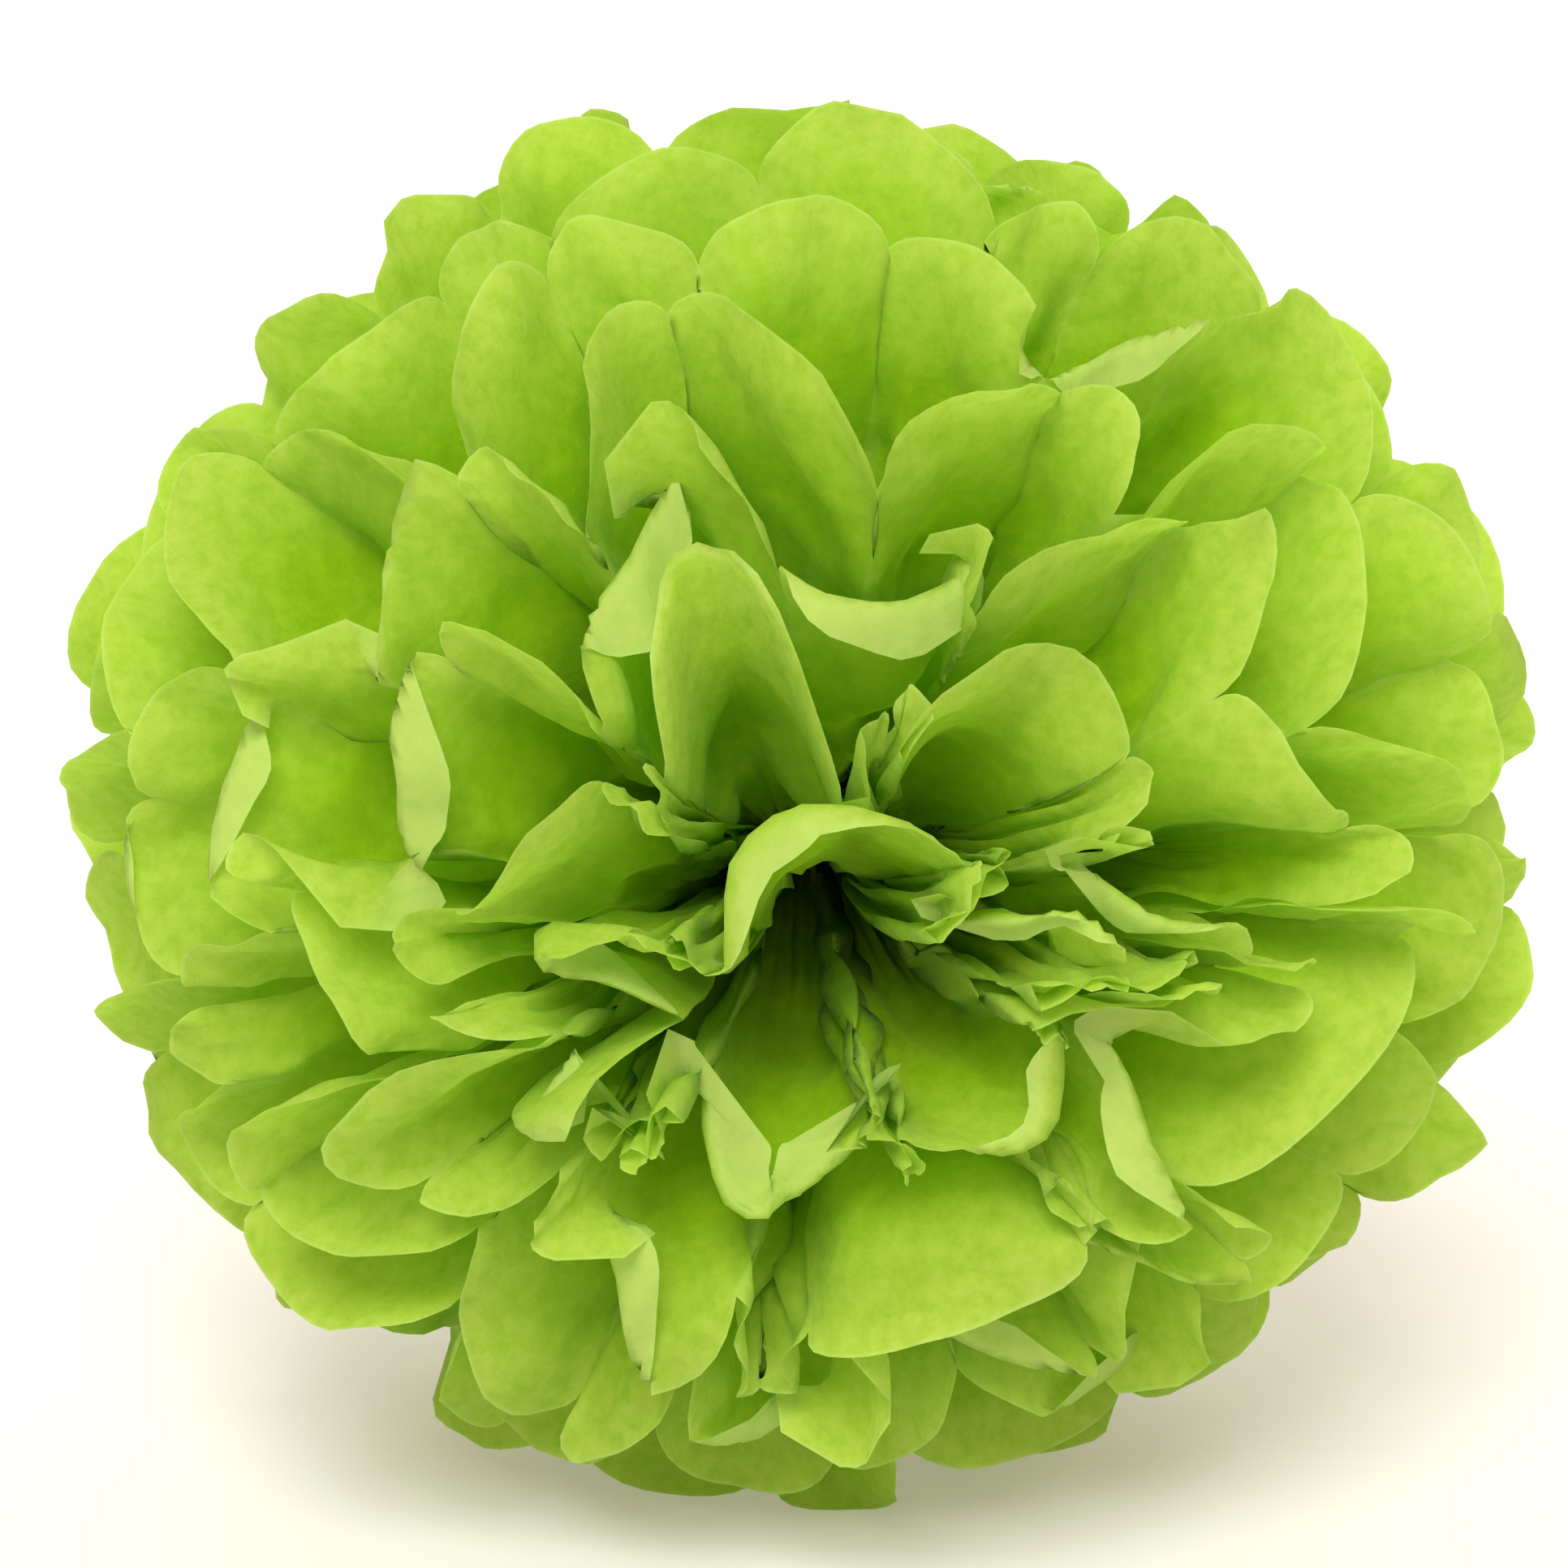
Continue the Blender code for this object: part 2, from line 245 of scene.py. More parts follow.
class Sheet:
    """One pleated sheet: its side (1 front, -1 back) and its rank from the axis."""

    def __init__(self, side, rank):
        self.side = side
        self.rank = rank
        self.number = rank + 1 if side > 0 else 2 * SHEETS_PER_SIDE - rank
        self.stack = stack_height(rank)
        self.neck_length = NECK_HALF_LENGTH + rank * (LAYER_THICKNESS + LAYER_GAP)
        reach = self.stack + LAYER_THICKNESS / 2
        self.neck_width = math.sqrt(bundle_radius() ** 2 - reach ** 2)
        self.tip_angle = math.radians(INNER_TIP_ANGLE) + sheet_spacing() * rank
        draw = random.Random(100 + self.number)
        self.shift = math.radians(FAN_SHIFT) * draw.uniform(-1.0, 1.0)
        self.turns = np.array([self.panel_turns(draw, half) for half in range(2)])
        self.swings = np.array([self.crease_swings(draw) for _ in range(2)])
        self.reach = panel_draws(draw, REACH_RANGE)
        tucked_reach = self.reach * TUCKED_REACH_SHARES[rank]
        tucked_reach = np.maximum(tucked_reach, NOTCH_RUN / PETAL_RUN)
        self.curl = panel_draws(draw, CURL_RANGE if rank else INNER_CURL_RANGE)
        self.cup = panel_draws(draw, CUP_RANGE)
        self.opened = np.array([self.is_open(panel) for panel in range(PANELS)])
        self.reach = np.where(self.opened, self.reach, tucked_reach)
        self.leans = np.array([self.petal_leans(half) for half in range(2)])
        cup_share = np.where(self.opened, 1.0, TUCKED_CUP_SHARE)
        self.deep_cup = np.radians(DEEP_CUP_ANGLES[rank]) * cup_share
        self.folds = [
            [make_folds(self, half, panel) for panel in range(PANELS)] for half in range(2)
        ]

    def is_open(self, panel):
        """An open panel shows its face; the panels between two open ones are tucked."""
        return (panel + self.number) % (TUCK_COUNTS[self.rank] + 1) == 0

    def petal_leans(self, half):
        """Extra angle from the axis at the middle of each panel, even between open ones."""
        petals = [panel for panel in range(PANELS) if self.is_open(panel)]
        leans = [self.middle_petal(half, panel)[1] for panel in petals]
        return np.radians(np.interp(np.arange(PANELS) + 0.5, np.array(petals) + 0.5, leans))

    def middle_petal(self, half, panel):
        """Width, lean and folds of a petal round the front flower's middle."""
        plain = (1.0, 0.0, None)
        return MIDDLE_PETALS.get((half, panel), plain) if self.number == 1 else plain

    def panel_turns(self, draw, half):
        """Turns round the axis of the creases of one half fan."""
        widths = []
        for panel in range(PANELS):
            width = OPEN_WIDTHS[self.rank] if self.is_open(panel) else 1.0
            width *= self.middle_petal(half, panel)[0]
            widths.append(width * draw.uniform(1.0 - WIDTH_JITTER, 1.0 + WIDTH_JITTER))
        seam = math.radians(SEAM_ANGLE)
        scale = (math.pi - 2 * seam) / sum(widths)
        return [seam + scale * sum(widths[:crease]) for crease in range(PANELS + 1)]

    def crease_swings(self, draw):
        """Angles by which creases stand out of the sheet, outwards and inwards by turns."""
        swings = []
        for crease in range(PANELS + 1):
            side = 1 if (crease + self.number) % 2 == 0 else -1
            size = SWING_ANGLES[self.rank]
            beside_open = self.is_open(crease - 1) or self.is_open(crease)
            if TUCK_COUNTS[self.rank] > 1 and beside_open:
                size *= OPEN_EDGE_SHARE
            elif self.rank == 0 and side < 0:
                size = INNER_FIN_ANGLE
            swing = side * size * draw.uniform(*SWING_RANGE)
            swings.append(math.radians(swing + LEAN_ANGLE * draw.uniform(-1.0, 1.0)))
        return swings


def make_folds(sheet, half, panel):
    """How the end of one petal bends over: where, how far, how sharply and to which face.

    Most tips roll a little. Some are folded back on themselves as a lip, which is coloured paler
    as painted light.
    """
    middle_folds = sheet.middle_petal(half, panel)[2]
    if middle_folds:
        return [fold_values(*values, MIDDLE_FADE) for values in middle_folds]
    draw = random.Random(FOLD_SEEDS[sheet.side] + 1000 * sheet.number + 100 * half + panel)
    folded = draw.random() < LIP_CHANCES[sheet.rank] and sheet.is_open(panel)
    slant = math.radians(draw.uniform(-LIP_SLANT, LIP_SLANT))
    if folded:
        face = -1.0 if draw.random() < LIP_INNER_SHARE else 1.0
        height = draw.uniform(*LIP_HEIGHTS)
        angle = draw.uniform(*LIP_ANGLES)
        radius = draw.uniform(*LIP_RADII)
        return [fold_values(height, angle, radius, math.degrees(slant), face, LIP_FADE)]
    face = -1.0 if draw.random() < ROLL_INNER_SHARE else 1.0
    height = draw.uniform(*ROLL_HEIGHTS)
    angle = draw.uniform(*(ROLL_ANGLES if sheet.is_open(panel) else TUCKED_ROLL_ANGLES))
    radius = height / max(angle, PROBE)
    return [fold_values(height, angle, radius, math.degrees(slant), face, ROLL_FADE)]


def fold_values(height, angle, radius, slant, face, fade):
    """One fold: its line's height, its turn, radius, slant, face and reach sideways."""
    return {
        "height": height,
        "angle": angle,
        "radius": radius,
        "slant": math.radians(slant),
        "face": face,
        "fade": fade,
    }


def mean_angle(sheet, run):
    """Angle of the sheet from the axis, which opens towards the petal tips."""
    root = ROOT_SHARES[sheet.rank]
    opening = np.clip(run / PETAL_RUN, 0.0, 1.0) ** OPENING_POWER
    return sheet.tip_angle * (root + (1.0 - root) * opening)


def spread(angle, turn):
    """Bunch some petals and open others, together for all sheets."""
    tilt = sum(size * np.sin(count * turn + start) for size, count, start in TILT_WAVES)
    tilt = tilt * np.sin(angle)
    lean = TURN_WAVE_LEAN * angle
    twist = sum(size * np.sin(count * turn + start + lean) for size, count, start in TURN_WAVES)
    twist = twist * (1.0 - TURN_FADE * smooth_step(np.sin(angle), *TURN_FADE_RANGE))
    return angle + np.radians(tilt), turn + np.radians(twist)


def ruffle(angle, turn, run):
    """Wave that passes through all sheets together, so that none meets its neighbour."""
    wave = sum(
        size * np.sin(count * turn + start + lean * angle) for size, count, start, lean in RUFFLES
    )
    pole = math.radians(RUFFLE_POLE_ANGLE)
    from_pole = np.clip(np.minimum(angle, math.pi - angle) / pole, 0.0, 1.0)
    return angle + np.radians(wave) * from_pole * smooth_step(run, RUFFLE_START, RUFFLE_END)


def curl_tip(sheet, half, panel, share, angle, run):
    """Bend the end of a petal off its straight run: new angle and distance."""
    start = CURL_START * NOTCH_RUN
    bend = np.maximum(run - start, 0.0)
    edge_arch = math.sin(math.pi * CURL_EDGE)
    arch = np.sin(math.pi * (CURL_EDGE + (1.0 - 2 * CURL_EDGE) * share)) - edge_arch
    curl = sheet.curl[half]
    following = curl[np.minimum(panel + 1, PANELS - 1)]
    amount = curl[panel] * arch + edge_arch * (curl[panel] * (1.0 - share) + following * share)
    bow = amount * bend / (PETAL_RUN - start)
    reach = run - bend * (1.0 - np.cos(bow))
    return angle + bend * np.sin(bow) / np.maximum(reach, PROBE), reach


def settle(x, y, z):
    """Set the ball on the surface with its flower dipped, and press up what is below."""
    dip = math.radians(DIP_ANGLE)
    height = y * math.cos(dip) - z * math.sin(dip) + CENTRE_HEIGHT
    pressed = FLAT_DEPTH * np.exp(np.minimum(height - FLAT_DEPTH, 0.0) / FLAT_DEPTH)
    height = np.where(height < FLAT_DEPTH, pressed, height)
    return np.stack((x, -z * math.cos(dip) - y * math.sin(dip), height), axis=-1)


def sheet_points(sheet, half, panel, share, run):
    """Points of the sheet's main shape, made the way its solid is made."""
    swings = sheet.swings[half]
    gather = smooth_step(run, GATHER_START, GATHER_END)
    lean = np.interp(panel + share, np.arange(PANELS) + 0.5, sheet.leans[half])
    angle = mean_angle(sheet, run) + lean * smooth_step(run, DEEP_CUP_START, NOTCH_RUN)
    angle = angle + (swings[panel] * (1.0 - share) + swings[panel + 1] * share) * gather
    cup = math.radians(CUP_ANGLE) * sheet.cup[half][panel]
    angle = angle + cup * np.sin(math.pi * share) * smooth_step(run, 0.0, NOTCH_RUN)
    deep = sheet.deep_cup[panel]
    angle = angle + deep * np.sin(math.pi * share) * smooth_step(run, DEEP_CUP_START, NOTCH_RUN)
    angle, reach = curl_tip(sheet, half, panel, share, angle, run)
    if sheet.side < 0:
        angle = math.pi - angle
    turns = sheet.turns[half]
    turn = turns[panel] * (1.0 - share) + turns[panel + 1] * share
    mirror = 1 if half == 0 else -1
    shifted = mirror * turn + sheet.shift * smooth_step(run, 0.0, NOTCH_RUN)
    angle, shifted = spread(angle, shifted)
    angle = ruffle(angle, shifted, run)
    neck = sheet.neck_length * np.exp(-run / NECK_FADE_RUN)
    across = reach * np.sin(angle)
    x = sheet.neck_width * np.cos(turn) + across * np.cos(shifted)
    y = mirror * neck + across * np.sin(shifted)
    z = sheet.side * sheet.stack + reach * np.cos(angle)
    return settle(x, y, z)


def panel_points(sheet, half, panel, share, run):
    """Points of panels that are even curves through their creases and middle lines."""
    first = sheet_points(sheet, half, panel, np.zeros_like(run), run)
    middle = sheet_points(sheet, half, panel, np.full_like(run, 0.5), run)
    last = sheet_points(sheet, half, panel, np.ones_like(run), run)
    place = share[..., None]
    bulge = middle - (first + last) / 2
    return first * (1.0 - place) + last * place + bulge * 4 * place * (1.0 - place)


def fold_over(sheet, half, panel, share, run):
    """Roll or fold the petals' ends, each about a straight line across it.

    Returns the place on the main shape under each point, its distance off it, and 1 where
    the paper is turned over. A fold runs on into the next panels and dies out there.
    """
    place = panel + share
    lift = np.zeros_like(run)
    turned = np.zeros_like(run)
    new_share = share.copy()
    new_run = run.copy()
    pairs = [(index, fold) for index in range(PANELS) for fold in sheet.folds[half][index]]
    for index, fold in pairs:
        slant = fold["slant"]
        line = PETAL_RUN - fold["height"]
        across = (place - index - 0.5) * PANEL_WIDTH
        beyond = (run - line) * math.cos(slant) + across * math.sin(slant)
        outside = np.maximum(np.abs(place - index - 0.5) - 0.5, 0.0)
        share_of_fold = 1.0 - smooth_step(outside, 0.0, fold["fade"])
        near = (beyond > 0.0) & (share_of_fold > 0.0)
        angle = fold["angle"] * share_of_fold[near]
        beyond = beyond[near]
        bent = np.minimum(beyond / fold["radius"], angle)
        rest = np.maximum(beyond - fold["radius"] * angle, 0.0)
        flat = fold["radius"] * np.sin(bent) + rest * np.cos(angle)
        height = fold["radius"] * (1.0 - np.cos(bent)) + rest * np.sin(angle)
        lift[near] += fold["face"] * height
        turned[near] = np.maximum(turned[near], smooth_step(bent, *TURNED_RANGE))
        drawn_back = beyond - flat
        new_run[near] -= drawn_back * math.cos(slant)
        new_share[near] -= drawn_back * math.sin(slant) / PANEL_WIDTH
    return new_share, new_run, lift, turned


def paper_relief(sheet, half, place, run, rim):
    """Waves near the tie, dents, old fold lines and a fluttering rim, in metres."""
    draw = np.random.default_rng(500 + 2 * sheet.number + half)
    across = place * PANEL_WIDTH
    relief = np.zeros_like(run)
    near_tie = smooth_step(run, *WAVE_RISE) * (1.0 - smooth_step(run, *WAVE_FALL))
    for count in WAVE_COUNTS:
        phase = draw.uniform(0, CIRCLE)
        wander = WAVE_WANDER * np.sin(run / WANDER_RUN + draw.uniform(0, CIRCLE))
        relief += WAVE_HEIGHT * near_tie * np.sin(CIRCLE * count * place + phase + wander)
    body = smooth_step(run, *BODY_RISE)
    for _ in range(DENTS):
        way = draw.uniform(0, math.pi)
        length = draw.uniform(*DENT_LENGTHS)
        along = across * math.cos(way) + run * math.sin(way)
        aside = -across * math.sin(way) + run * math.cos(way)
        bend_length = DENT_BEND_LENGTH * length
        bend = DENT_BEND * np.sin(CIRCLE * aside / bend_length + draw.uniform(0, CIRCLE))
        zigzag = np.arcsin(np.sin(CIRCLE * along / length + bend))
        relief += body * length * DENT_SLOPE * zigzag
    for _ in range(RIDGES):
        way = draw.normal(0.0, RIDGE_TURN_SPREAD)
        centre_across = draw.uniform(0, SHEET_WIDTH)
        centre_run = draw.uniform(RIDGE_START, PETAL_RUN)
        along = (across - centre_across) * math.sin(way) + (run - centre_run) * math.cos(way)
        aside = (across - centre_across) * math.cos(way) - (run - centre_run) * math.sin(way)
        ridge = np.exp(-np.abs(aside) / RIDGE_WIDTH) * np.exp(-((along / RIDGE_LENGTH) ** 2))
        relief += body * draw.choice([-1.0, 1.0]) * RIDGE_HEIGHT * ridge
    for panel in range(PANELS):
        side = draw.choice([-1.0, 1.0])
        middle = (panel + draw.uniform(*LONG_RIDGE_PLACES)) * PANEL_WIDTH
        slope = draw.uniform(*LONG_RIDGE_SLOPES)
        end = draw.uniform(*LONG_RIDGE_ENDS)
        aside = across - middle - slope * (run - LONG_RIDGE_PIVOT)
        kept = 1.0 - smooth_step(run, end - LONG_RIDGE_FADE, end)
        ridge = np.exp(-np.abs(aside) / LONG_RIDGE_WIDTH)
        relief += body * side * LONG_RIDGE_HEIGHT * ridge * kept
    near_rim = np.exp(-(rim - run) / FLUTTER_REACH)
    phase = draw.uniform(0, CIRCLE)
    flutter = np.sin(CIRCLE * place * FLUTTER_COUNT + phase)
    flutter = flutter + FAST_FLUTTER_SHARE * np.sin(CIRCLE * place * FAST_FLUTTER_COUNT)
    relief += FLUTTER_HEIGHT * near_rim * flutter
    return relief


def gather_zigzag(sheet, panel, points, share, run):
    """Small pleats that take up the width of paper that the bundle has no room for."""
    gap = np.zeros_like(run)
    paper = np.zeros_like(run)
    gap[1:] = np.linalg.norm(points[1:] - points[:-1], axis=-1)
    steps = np.abs(np.diff(share, axis=0))
    steps = np.where(steps > 0.5, 1.0 - steps, steps)
    paper[1:] = steps * PANEL_WIDTH
    slack = np.sqrt(np.maximum(paper ** 2 - gap ** 2, 0.0))
    slack = (slack + np.roll(slack, -1, axis=0)) / 2
    tucked = 1.0 - smooth_step(run, *TUCKED_GATHER_FADES[sheet.rank])
    opened = 1.0 - smooth_step(run, *OPEN_GATHER_FADES[sheet.rank])
    amount = smooth_step(run, *GATHER_RISE) * np.where(sheet.opened[panel], opened, tucked)
    column = np.arange(len(run))
    narrow = np.where(column % 2 == 0, 0.5, -0.5)[:, None]
    wide = np.array((0.0, 1.0, 0.0, -1.0))[column % 4][:, None]
    wide_share = smooth_step(run, *WIDE_GATHER_RANGE) * ~sheet.opened[panel]
    way = narrow * (1.0 - wide_share) + wide * wide_share
    size = np.minimum(slack, 2 * GATHER_SLOPE * run)
    return way * size * amount


def column_shares():
    """Places of a panel's columns between its creases, closer together near them."""
    return (1.0 - np.cos(math.pi * np.arange(PANEL_COLUMNS) / PANEL_COLUMNS)) / 2


def half_fan_grid(sheet, half):
    """Grid of one half fan, columns across the pleats by rows outwards from the tie.

    Returns the points, their way to the rim, their place in the panel, and 1 where the
    paper is turned over.
    """
    panel = np.repeat(np.arange(PANELS), PANEL_COLUMNS)
    panel = np.append(panel, PANELS - 1)
    share = np.append(np.tile(column_shares(), PANELS), 1.0)
    rise = np.sqrt(np.maximum(1.0 - (2 * share - 1) ** 2, 0.0))
    reach = sheet.reach[half][panel] * PETAL_RUN
    rim = NOTCH_RUN + (reach - NOTCH_RUN) * rise
    place = panel + share
    rim = rim + CUT_WAVE_HEIGHT * rise * np.sin(CUT_WAVE_RATE * place + sheet.number)
    rows = (np.arange(RUN_ROWS + 1) / RUN_ROWS) ** ROW_CROWDING
    run = rim[:, None] * rows[None, :]
    panel = np.broadcast_to(panel[:, None], run.shape)
    share = np.broadcast_to(share[:, None], run.shape)
    place = np.broadcast_to(place[:, None], run.shape)
    rim = np.broadcast_to(rim[:, None], run.shape)
    flat_share, flat_run, lift, turned = fold_over(sheet, half, panel, share, run)
    points = panel_points(sheet, half, panel, flat_share, flat_run)
    probe_share = panel_points(sheet, half, panel, flat_share + PROBE / PANEL_WIDTH, flat_run)
    probe_run = panel_points(sheet, half, panel, flat_share, flat_run + PROBE)
    normal = np.cross(probe_share - points, probe_run - points)
    size = np.linalg.norm(normal, axis=-1, keepdims=True)
    normal = normal / np.maximum(size, SMALLEST_NORMAL)
    mirror = 1 if half == 0 else -1
    normal *= mirror * sheet.side
    relief = paper_relief(sheet, half, place, run, rim)
    offset = lift + relief + gather_zigzag(sheet, panel, points, share, run)
    points = points + normal * offset[..., None]
    points[..., 2] = np.maximum(points[..., 2], FLOOR_CLEARANCE)
    return points, rim - run, share, turned


def neck_points(sheet):
    """The row in the middle of the neck, shared by both half fans."""
    place = np.append((np.arange(PANELS)[:, None] + column_shares()[None, :]).ravel(), PANELS)
    x = sheet.neck_width * np.cos(math.pi * place / PANELS)
    return settle(x, np.zeros_like(x), np.full_like(x, sheet.side * sheet.stack))


def grid_faces(first, columns, rows):
    """Four-cornered faces of a grid whose points are numbered column by column."""
    column, row = np.meshgrid(np.arange(columns - 1), np.arange(rows - 1), indexing="ij")
    corner = first + column * rows + row
    corners = (corner, corner + rows, corner + rows + 1, corner + 1)
    return np.stack(corners, axis=-1).reshape(-1, 4)


def make_sheet(side, rank, material):
    """Model one sheet of tissue as a single layer."""
    sheet = Sheet(side, rank)
    neck = neck_points(sheet)
    columns = len(neck)
    rows = RUN_ROWS + 1
    blocks = [neck]
    faces = []
    to_rim = [np.full(columns, PETAL_RUN)]
    to_crease = [np.full(columns, PANEL_WIDTH)]
    turned = [np.zeros(columns)]
    first = columns
    for half in range(2):
        points, rim_gap, share, turned_over = half_fan_grid(sheet, half)
        blocks.append(points.reshape(-1, 3))
        to_rim.append(rim_gap.ravel())
        turned.append(turned_over.ravel())
        to_crease.append((np.minimum(share, 1.0 - share) * PANEL_WIDTH).ravel())
        fan_faces = grid_faces(first, columns, rows)
        start = np.arange(columns - 1)
        root = first + start * rows
        neck_faces = np.stack((start, start + 1, root + rows, root), axis=-1)
        if half == 1:
            fan_faces = fan_faces[:, ::-1]
            neck_faces = neck_faces[:, ::-1]
        faces.append(fan_faces)
        faces.append(neck_faces)
        first += columns * rows
    name = f"tissue_{sheet.number:02d}"
    mesh = build_mesh(name, np.concatenate(blocks), np.concatenate(faces))
    add_values(mesh, "to_rim", np.concatenate(to_rim))
    add_values(mesh, "to_crease", np.concatenate(to_crease))
    add_values(mesh, "turned", np.concatenate(turned))
    mesh.materials.append(material)
    item = bpy.data.objects.new(name, mesh)
    bpy.context.scene.collection.objects.link(item)
    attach(item, "root")
    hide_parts(f"sheet_{sheet.number:02d}")


def build_mesh(name, points, faces):
    """Mesh from arrays of points and four-cornered faces, shaded smooth."""
    mesh = bpy.data.meshes.new(name)
    mesh.vertices.add(len(points))
    mesh.vertices.foreach_set("co", points.astype(np.float32).ravel())
    mesh.loops.add(faces.size)
    mesh.loops.foreach_set("vertex_index", faces.astype(np.int32).ravel())
    mesh.polygons.add(len(faces))
    mesh.polygons.foreach_set("loop_start", np.arange(0, faces.size, 4, dtype=np.int32))
    mesh.polygons.foreach_set("use_smooth", np.ones(len(faces), dtype=bool))
    mesh.update(calc_edges=True)
    mesh.validate()
    return mesh


def add_values(mesh, name, values):
    """Store one number for each point of a mesh."""
    layer = mesh.attributes.new(name, "FLOAT", "POINT")
    layer.data.foreach_set("value", values.astype(np.float32))


# Colours of the tissue, linear; the lit rim and lit lip colours among them are painted light
DENSE = (0.275, 0.490, 0.003, 1.0)
THIN = (0.390, 0.600, 0.009, 1.0)
WIDE_CLOUD = (0.330, 0.575, 0.004, 1.0)
FIBRE = (0.50, 0.69, 0.06, 1.0)
SPECK = (0.20, 0.36, 0.015, 1.0)
# painted light: paler rim colour for light falling on and through the single layer at the petal
# ends
PAINTED_LIT_RIM = (0.60, 0.69, 0.14, 1.0)
# painted light: paler colour for turned-over lips, as if lit from above
PAINTED_LIT_LIP = (0.74, 0.86, 0.26, 1.0)
RIM_LINE = (0.62, 0.80, 0.25, 1.0)
CREASE_LINE = (0.50, 0.72, 0.14, 1.0)
GLOW = (0.42, 0.80, 0.015, 1.0)

# Noises: features per metre, detail and roughness
CLOUD_NOISE = (300.0, 3.0, 0.65)
WIDE_CLOUD_NOISE = (55.0, 2.0, 0.55)
FIBRE_NOISE = (900.0, 3.0, 0.7)
SPECK_NOISE = (1500.0, 1.0, 0.55)
COARSE_BUMP_NOISE = (130.0, 3.0, 0.6)
FINE_BUMP_NOISE = (420.0, 4.0, 0.7)
STREAK_NOISE = (1400.0, 3.0, 0.55)

# Ramps: the span of what goes in, and the values at its ends. Those of rims and creases
# take metres.
CLOUD_RAMP = (0.35, 0.68, 0.0, 1.0)
WIDE_CLOUD_RAMP = (0.35, 0.65, 0.0, 0.25)
FIBRE_RAMP = (0.55, 0.75, 0.0, 0.35)
SPECK_RAMP = (0.74, 0.80, 0.0, 0.5)
# painted light: the lit rim colour fades out over 25 mm in from the cut
PAINTED_LIT_RIM_RAMP = (0.0, 0.025, 1.0, 0.0)
# mottle of the painted lit rim, taken from the clouds
LIT_RIM_MOTTLE_RAMP = (0.30, 0.65, 0.35, 0.75)
# painted light: how far turned-over paper takes the lit lip colour
PAINTED_LIT_LIP_RAMP = (0.0, 1.0, 0.0, 0.55)
RIM_LINE_RAMP = (0.0, 0.0007, 0.45, 0.0)
CREASE_LINE_RAMP = (0.0, 0.0006, 0.28, 0.0)

# Bumps: strength and distance
COARSE_BUMP = (0.35, 0.0016)
FINE_BUMP = (0.30, 0.0005)

# Surface of the tissue, and the light that passes through it
TISSUE_SURFACE = {
    "Roughness": 0.72,
    "Specular IOR Level": 0.12,
    "Sheen Weight": 0.05,
    "Sheen Roughness": 0.6,
}
GLOW_TINT = 0.5
GLOW_SHARE = 0.50

# Wire
DARK_STEEL = (0.42, 0.42, 0.40, 1.0)
BRIGHT_STEEL = (0.66, 0.66, 0.63, 1.0)
STEEL_ROUGHNESS_RAMP = (0.3, 0.7, 0.28, 0.45)


def ramp(tree, source, low, high, low_value, high_value):
    """Map a value from one span to another, clamped."""
    node = tree.nodes.new("ShaderNodeMapRange")
    node.inputs["From Min"].default_value = low
    node.inputs["From Max"].default_value = high
    node.inputs["To Min"].default_value = low_value
    node.inputs["To Max"].default_value = high_value
    tree.links.new(source, node.inputs["Value"])
    return node.outputs["Result"]


def mix_colour(tree, factor, first, second):
    """Mix two colours, each a value or a socket, by a socket or number."""
    node = tree.nodes.new("ShaderNodeMix")
    node.data_type = "RGBA"
    for place, value in ((0, factor), (6, first), (7, second)):
        socket = node.inputs[place]
        if isinstance(value, bpy.types.NodeSocket):
            tree.links.new(value, socket)
        else:
            socket.default_value = value
    return node.outputs[2]


def noise(tree, coordinates, scale, detail, roughness):
    """A noise texture in object space; scale is in features per metre."""
    node = tree.nodes.new("ShaderNodeTexNoise")
    node.inputs["Scale"].default_value = scale
    node.inputs["Detail"].default_value = detail
    node.inputs["Roughness"].default_value = roughness
    tree.links.new(coordinates, node.inputs["Vector"])
    return node.outputs["Fac"]


def bump(tree, height, strength, distance, normal=None):
    """Bump from a height, over another bump's normal if there is one."""
    node = tree.nodes.new("ShaderNodeBump")
    node.inputs["Strength"].default_value = strength
    node.inputs["Distance"].default_value = distance
    tree.links.new(height, node.inputs["Height"])
    if normal:
        tree.links.new(normal, node.inputs["Normal"])
    return node.outputs["Normal"]


def point_value(tree, name):
    """A number that the mesh stores at its points."""
    node = tree.nodes.new("ShaderNodeAttribute")
    node.attribute_name = name
    return node.outputs["Fac"]


def combine(tree, operation, first, second):
    """Work out one value from two, each a number or a socket."""
    node = tree.nodes.new("ShaderNodeMath")
    node.operation = operation
    for socket, value in zip(node.inputs, (first, second)):
        if isinstance(value, bpy.types.NodeSocket):
            tree.links.new(value, socket)
        else:
            socket.default_value = value
    return node.outputs["Value"]


